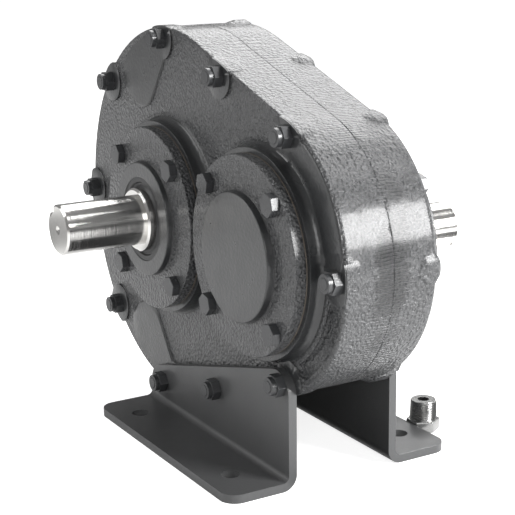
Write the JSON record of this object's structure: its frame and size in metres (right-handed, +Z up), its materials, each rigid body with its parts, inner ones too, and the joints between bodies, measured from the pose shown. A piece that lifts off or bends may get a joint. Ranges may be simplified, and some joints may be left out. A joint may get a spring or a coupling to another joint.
{
  "type": "parallel shaft gear reducer",
  "caption": "Foot-mounted parallel shaft gear reducer with a split cast housing, helical gears on two offset parallel shafts, bearing caps, and a loose breather plug.",
  "frame": {"origin": "centre of the foot hole pattern, on the surface the feet rest on", "axes": "+X along the feet towards the input shaft's side, +Y along the shafts towards the end where the input shaft leaves, +Z up"},
  "size_m": [0.3996, 0.2472, 0.3097],
  "materials": {
    "housing_paint": "dark grey satin paint over a sand-cast skin",
    "foot_paint": "dark grey satin paint over bent plate",
    "cap_paint": "dark grey satin paint over a turned casting",
    "fastener_paint": "dark grey paint over plated steel",
    "plug_paint": "dark grey paint over a steel pipe plug",
    "breather_steel": "dull grey plug with a cut thread",
    "shaft_steel": "ground steel",
    "gear_steel": "machined steel, oiled",
    "bearing_steel": "ground bearing steel",
    "cage_steel": "pressed sheet steel",
    "seal_rubber": "black nitrile rubber",
    "gasket_fibre": "thin fibre gasket"
  },
  "bodies": {
    "housing": {"breather_plug": "breather_steel", "case_nuts": "fastener_paint", "case_studs": "fastener_paint", "dowel_pins": "gear_steel", "foot_bolts": "fastener_paint", "foot_nuts": "fastener_paint", "front_foot": "foot_paint", "front_input_cap": "cap_paint", "front_input_gasket": "gasket_fibre", "front_input_outer_ring": "bearing_steel", "front_input_screws": "fastener_paint", "front_output_cap": "cap_paint", "front_output_gasket": "gasket_fibre", "front_output_outer_ring": "bearing_steel", "front_output_screws": "fastener_paint", "front_output_seal": "seal_rubber", "housing_front": "housing_paint", "housing_rear": "housing_paint", "port_plugs": "plug_paint", "rear_foot": "foot_paint", "rear_input_cap": "cap_paint", "rear_input_gasket": "gasket_fibre", "rear_input_outer_ring": "bearing_steel", "rear_input_screws": "fastener_paint", "rear_input_seal": "seal_rubber", "rear_output_cap": "cap_paint", "rear_output_gasket": "gasket_fibre", "rear_output_outer_ring": "bearing_steel", "rear_output_screws": "fastener_paint"},
    "output_shaft_set": {"output_shaft": "shaft_steel", "output_gear": "gear_steel", "gear_key": "gear_steel", "gear_spacer": "gear_steel", "front_output_inner_ring": "bearing_steel", "rear_output_inner_ring": "bearing_steel"},
    "pinion_shaft_set": {"pinion_shaft": "shaft_steel", "front_input_inner_ring": "bearing_steel", "rear_input_inner_ring": "bearing_steel"},
    "front_output_roller_set": {"front_output_rollers": "bearing_steel", "front_output_cage": "cage_steel"},
    "rear_output_roller_set": {"rear_output_rollers": "bearing_steel", "rear_output_cage": "cage_steel"},
    "front_input_roller_set": {"front_input_rollers": "bearing_steel", "front_input_cage": "cage_steel"},
    "rear_input_roller_set": {"rear_input_rollers": "bearing_steel", "rear_input_cage": "cage_steel"}
  },
  "joints": [
    {"name": "output_shaft_spin", "type": "hinge", "parent": "housing", "child": "output_shaft_set", "pos_m": [-0.079, 0, 0.15875], "axis": [0, 1, 0], "continuous": true},
    {"name": "pinion_shaft_spin", "type": "hinge", "parent": "housing", "child": "pinion_shaft_set", "pos_m": [0.06362, 0, 0.15875], "axis": [0, 1, 0], "continuous": true},
    {"name": "front_output_roller_set_spin", "type": "hinge", "parent": "housing", "child": "front_output_roller_set", "pos_m": [-0.079, 0, 0.15875], "axis": [0, 1, 0], "continuous": true},
    {"name": "rear_output_roller_set_spin", "type": "hinge", "parent": "housing", "child": "rear_output_roller_set", "pos_m": [-0.079, 0, 0.15875], "axis": [0, 1, 0], "continuous": true},
    {"name": "front_input_roller_set_spin", "type": "hinge", "parent": "housing", "child": "front_input_roller_set", "pos_m": [0.06362, 0, 0.15875], "axis": [0, 1, 0], "continuous": true},
    {"name": "rear_input_roller_set_spin", "type": "hinge", "parent": "housing", "child": "rear_input_roller_set", "pos_m": [0.06362, 0, 0.15875], "axis": [0, 1, 0], "continuous": true}
  ],
  "couplings": [
    {"joint": "pinion_shaft_spin", "follows": "output_shaft_spin", "ratio": -3.0435},
    {"joint": "front_output_roller_set_spin", "follows": "output_shaft_spin", "ratio": 0.42957},
    {"joint": "rear_output_roller_set_spin", "follows": "output_shaft_spin", "ratio": 0.42957},
    {"joint": "front_input_roller_set_spin", "follows": "output_shaft_spin", "ratio": -1.3074},
    {"joint": "rear_input_roller_set_spin", "follows": "output_shaft_spin", "ratio": -1.3074}
  ]
}
